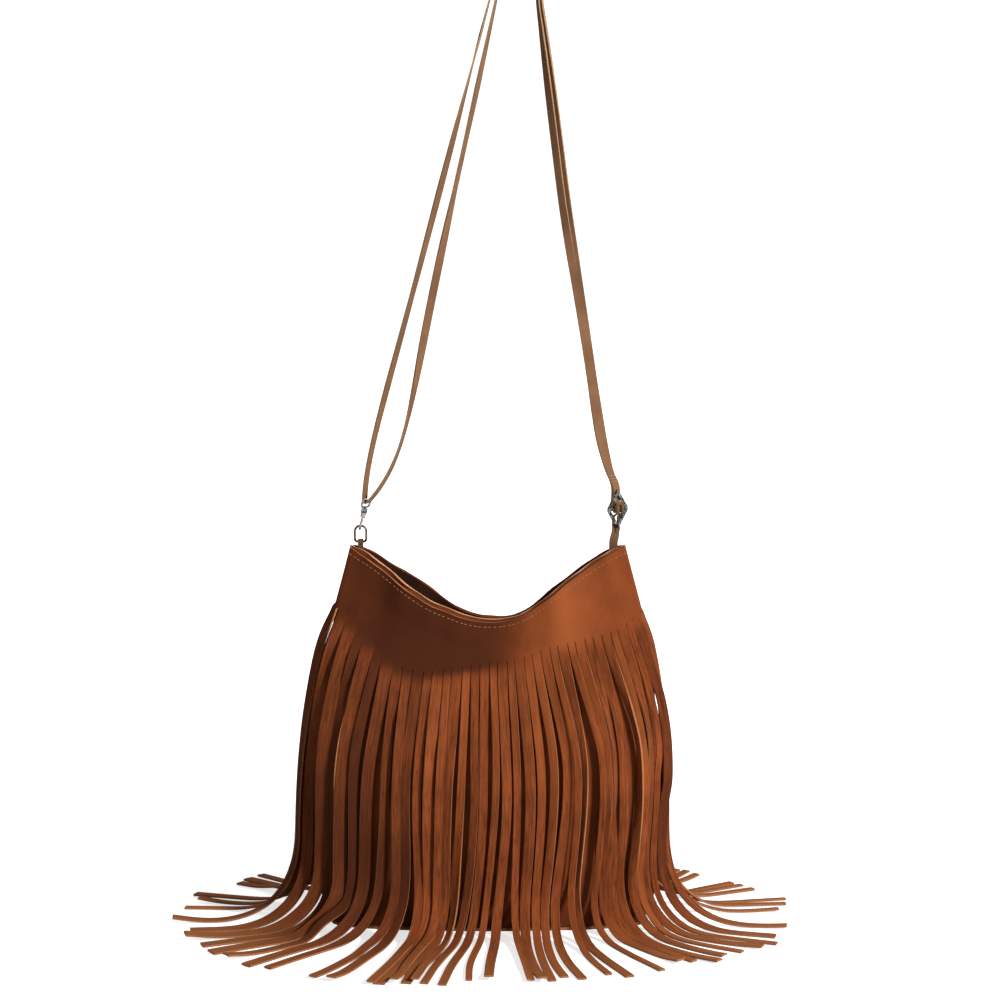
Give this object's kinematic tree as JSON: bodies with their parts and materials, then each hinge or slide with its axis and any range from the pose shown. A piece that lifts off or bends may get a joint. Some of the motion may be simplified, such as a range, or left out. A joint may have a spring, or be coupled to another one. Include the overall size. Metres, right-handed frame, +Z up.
{
  "type": "fringed suede shoulder bag",
  "caption": "Slouchy brown suede shoulder bag with a smooth yoke, a long cut fringe all round, a magnetic snap, and a doubled strap on a swivel hook and a buckle.",
  "frame": {"origin": "centre of the flat base's underside, on the surface that the bag stands on", "axes": "+Z up the bag towards the top of the strap, front faces -Y, buckle at +X, snap hook at -X"},
  "size_m": [0.5352, 0.3767, 0.8246],
  "materials": {
    "suede": "napped suede, reddish brown, with paler cut edges",
    "strap_suede": "napped suede, grey brown, with paler cut edges",
    "lining_cloth": "plain dark brown cloth",
    "silver_metal": "polished, slightly worn",
    "antique_silver": "antiqued, dark in the hollows",
    "dark_brass": "darkened, worn bright on the edges"
  },
  "bodies": {
    "root": {"base_panel": "suede", "body_front": "suede", "body_back": "suede", "lining": "lining_cloth", "fringe_front": "suede", "fringe_back": "suede", "snap_stud": "silver_metal", "snap_socket": "silver_metal", "tab_left": "strap_suede", "tab_right": "strap_suede", "swivel_eye": "silver_metal", "buckle_frame": "antique_silver", "shoulder_strap": "strap_suede"},
    "ring": {"ring_left": "dark_brass"},
    "hook": {"hook_body": "silver_metal", "gate_pin": "silver_metal"},
    "gate": {"hook_gate": "silver_metal"},
    "prong": {"buckle_prong": "antique_silver"}
  },
  "joints": [
    {"name": "ring_swing", "type": "hinge", "parent": "root", "child": "ring", "pos_m": [-0.1026, 0, 0.3145], "axis": [1, 0, 0], "range_deg": [-3, 3]},
    {"name": "hook_swivel", "type": "hinge", "parent": "root", "child": "hook", "pos_m": [-0.1026, 0, 0.3275], "axis": [0.2419, 0, 0.9703], "range_deg": [-25, 25]},
    {"name": "gate_pivot", "type": "hinge", "parent": "hook", "child": "gate", "pos_m": [-0.10074, 0.0038, 0.33497], "axis": [-0.9703, 0, 0.2419], "range_deg": [0, 25], "stiffness_Nm_per_rad": 0.01, "springref_deg": -20.05},
    {"name": "prong_hinge", "type": "hinge", "parent": "root", "child": "prong", "pos_m": [0.1045, 0, 0.341], "axis": [-0.8192, -0.5736, 0], "range_deg": [0, 70]}
  ]
}
